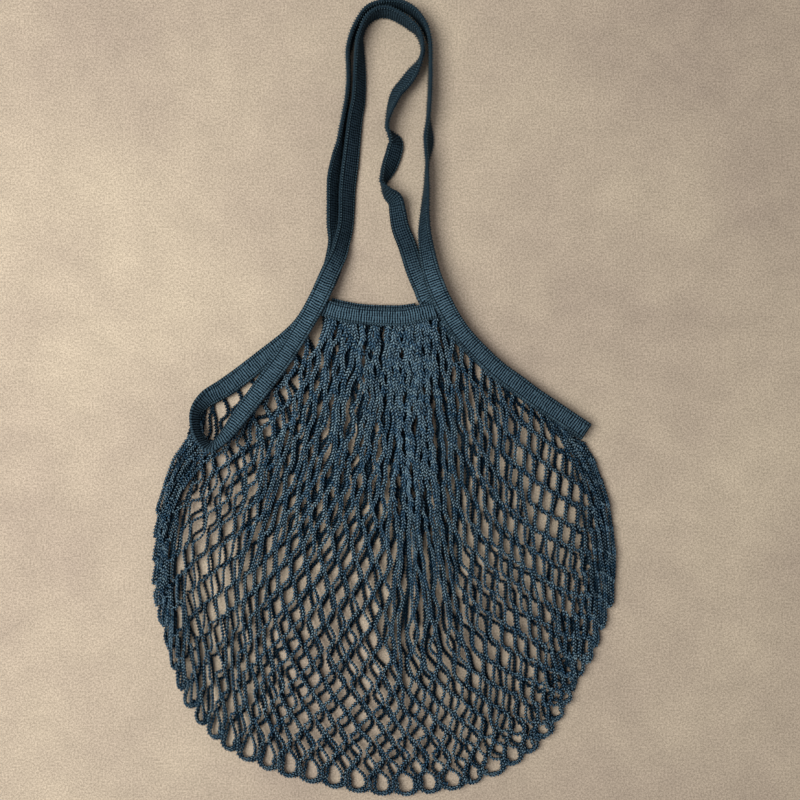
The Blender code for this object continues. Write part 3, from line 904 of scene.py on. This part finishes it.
def layTape(name, rows, width, before, after, seed):
    chance = np.random.default_rng(seed)
    even, middles, overs, outs = followRoute(rows, width, before, after)
    ring = tapeSection + [(share, -rise) for share, rise in tapeSection[-2:0:-1]]
    thickness = tapeSettings["thickness"]
    lengths, heights = tapeSettings["waveLengths"], tapeSettings["waveHeights"]
    waviness = sum(
        np.sin(even / chance.uniform(*lengths) + chance.uniform(0, 6)) * chance.uniform(*heights)
        for _ in range(tapeSettings["waves"])
    )
    rib = np.cos(2 * math.pi * even / tapeLook["ribPitch"]) * tapeSettings["ribHeight"]
    points, across = [], []
    for share, rise in ring:
        over = share * width + np.sign(share) * (rib * (1 - abs(rise)) + waviness * 0.5)
        swell = waviness * 0.35 * (1 - (2 * share) ** 2) * (rise != 0)
        out = rise * (thickness / 2 - 0.1) + np.sign(rise) * rib + swell
        points.append(middles + overs * over[:, None] + outs * out[:, None])
        across.append(share * width)
    points = np.stack(points, axis=1)  # ring by ring
    count, sides = points.shape[:2]
    faces = []
    for step in range(count - 1):
        low = step * sides
        for side in range(sides):
            beside = (side + 1) % sides
            faces.append((low + side, low + beside, low + sides + beside, low + sides + side))
    faces.append(tuple(range(sides))[::-1])
    faces.append(tuple(range((count - 1) * sides, count * sides)))
    mesh = bpy.data.meshes.new(name)
    mesh.from_pydata((points.reshape(-1, 3) * mm).tolist(), [], faces)
    weave = mesh.uv_layers.new(name="weave")
    corner = np.empty(len(mesh.loops), dtype=np.int32)
    mesh.loops.foreach_get("vertex_index", corner)
    uv = np.stack([np.array(across)[corner % sides], even[corner // sides]], axis=1)
    weave.data.foreach_set("uv", uv.astype(np.float32).ravel())
    smoothFaces(mesh)
    mesh.materials.append(tapeKnit)
    return addObject(name, mesh), even, middles, overs, outs


def edgeRows(laid, width, side, span, face):
    # a line of sewing along one edge, on the outer (1) or inner (-1) face
    even, middles, overs, outs = laid
    keep = (even >= span[0]) & (even <= span[1])
    over = side * (width / 2 - tapeSettings["seamInset"])
    out = face * (tapeSettings["thickness"] / 2 - tapeSettings["seamDepth"])
    line = middles + overs * over + outs * out
    return line[keep][::4]


tapeStitch = stitchShape("tapeStitch", [((1.2, 0.2, -0.6), (-1.2, 0.2, 0.6), 0.6, 0.55, 0.2, 1.0)])
tapeStitches = {"spacing": 2.3, "variation": 0.12, "wander": 0.2}

tapePlans = [  # name, route, CAD part, and the points before and after the route
    ("handleInner", handleInnerRoute, "handle_inner", bindingLeftRoute[1], bindingRightRoute[-2]),
    ("handleOuter", handleOuterRoute, "handle_outer", bindingLeftRoute[-2], bindingRightRoute[1]),
    ("bindingLeft", bindingLeftRoute, "binding_left", handleInnerRoute[1], handleOuterRoute[1]),
    ("bindingRight", bindingRightRoute, "binding_right", handleOuterRoute[-2], handleInnerRoute[-2]),
    ("bandFront", bandFrontRoute, "band_front", None, None),
    ("bandBack", bandBackRoute, "band_back", None, None),
]

tapes = {}
sewing = []  # lines of stitches along the edges
for number, (name, route, node, before, after) in enumerate(tapePlans):
    width = tapeSettings["bandWidth"] if name.startswith("band") else tapeSettings["width"]
    piece, *laid = layTape(name, route, width, before, after, seed=20 + number)
    whole = laid[0][-1]
    tapes[node] = (piece, whole, width)
    spans = [(-1, (0, whole))]
    if name == "bindingLeft":  # it rounds its corner, so the net changes sides
        spans = [(1, (0, whole * 0.42)), (-1, (whole * 0.58, whole))]
    elif name.startswith("handle"):
        spans.append((1, (0, whole)))
    for side, span in spans:
        for face in (1, -1):
            sewing.append(edgeRows(laid, width, side, span, face))
    print(name, round(whole), "mm of tape")

straight, plain = [np.zeros(len(row)) for row in sewing], [np.ones(len(row)) for row in sewing]
overcast = setStitches(
    "overcastEdge", sewing, straight, plain, tapeStitch, sewingThread, tapeStitches, seed=9,
)
print("tapes made")


for piece in netPieces:
    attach(piece, "root")
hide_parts("net")
for node, (piece, length, width) in tapes.items():
    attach(piece, "root")
    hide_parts(node)
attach(overcast, "root")


studio = {
    "floorColour": (0.480, 0.409, 0.323),
    "floorSize": 5.0,
    "lightPlace": (-0.72, -0.01, 1.08), "lightAim": (-0.02, 0.0, 0.0),
    "lightSize": 0.9, "lightPower": 19.4, "lightColour": (1.0, 0.975, 0.925),
    "skyColour": (1.0, 0.94, 0.95), "skyStrength": 0.31,
    "lens": 39.7, "cameraPlace": (0.0119, -0.001, 0.75),  # looking straight down
}
# layers of the floor's pattern: scale, detail, roughness, contrast, darkest and lightest tint
floorLayers = [
    (4.5, 4, 0.6, 2.8, (0.86, 0.84, 0.86), (1.12, 1.13, 1.10)),  # stains
    (38, 5, 0.7, 2.6, (0.93, 0.93, 0.93), (1.07, 1.07, 1.07)),  # clouds
    (640, 4, 0.9, 5.5, (0.72, 0.71, 0.70), (1.28, 1.28, 1.28)),  # grain
]


def sandMaterial():
    material, tree, shader = newMaterial("sandFloor")
    shader.inputs["Roughness"].default_value = 0.95
    shader.inputs["Specular IOR Level"].default_value = 0.1
    place = addNode(tree, "ShaderNodeTexCoord").outputs["Object"]
    colour = None
    for scale, detail, roughness, contrast, low, high in floorLayers:
        noise = addNoise(tree, place, scale, detail, roughness)
        spread = calculate(tree, "MULTIPLY_ADD", noise, contrast, 0.5 - contrast / 2)
        mixed = addNode(tree, "ShaderNodeMix", data_type="RGBA", blend_type="MULTIPLY")
        mixed.inputs[0].default_value = 1
        if colour:
            tree.links.new(colour, mixed.inputs[6])
        else:
            mixed.inputs[6].default_value = (*studio["floorColour"], 1)
        tree.links.new(mixColours(tree, spread, low, high), mixed.inputs[7])
        colour = mixed.outputs[2]
    tree.links.new(colour, shader.inputs["Base Color"])
    return material


def makeFloor():
    mesh = bpy.data.meshes.new("floor")
    far = studio["floorSize"] / 2
    corners = [(-far, -far, 0), (far, -far, 0), (far, far, 0), (-far, far, 0)]
    mesh.from_pydata(corners, [], [(0, 1, 2, 3)])
    mesh.materials.append(sandMaterial())
    addObject("floor", mesh)


def addLight():
    lamp = bpy.data.lights.new("windowLight", "AREA")
    lamp.size = studio["lightSize"]
    lamp.energy = studio["lightPower"]
    lamp.color = studio["lightColour"]
    light = addObject("windowLight", lamp)
    light.location = studio["lightPlace"]
    direction = np.array(studio["lightPlace"]) - np.array(studio["lightAim"])
    direction = direction / np.linalg.norm(direction)
    light.rotation_euler = (math.acos(direction[2]), 0, math.atan2(direction[0], -direction[1]))


makeFloor()
addLight()
world = bpy.data.worlds.new("studio")
world.use_nodes = True
sky = world.node_tree.nodes["Background"]
sky.inputs["Color"].default_value = (*studio["skyColour"], 1)
sky.inputs["Strength"].default_value = studio["skyStrength"]

lens = bpy.data.cameras.new("camera")
lens.lens = studio["lens"]
lens.sensor_width = 36
camera = addObject("camera", lens)
camera.location = studio["cameraPlace"]
bpy.context.scene.world = world
bpy.context.scene.camera = camera
bpy.context.scene.view_settings.view_transform = "Standard"
print("floor, light and camera placed")
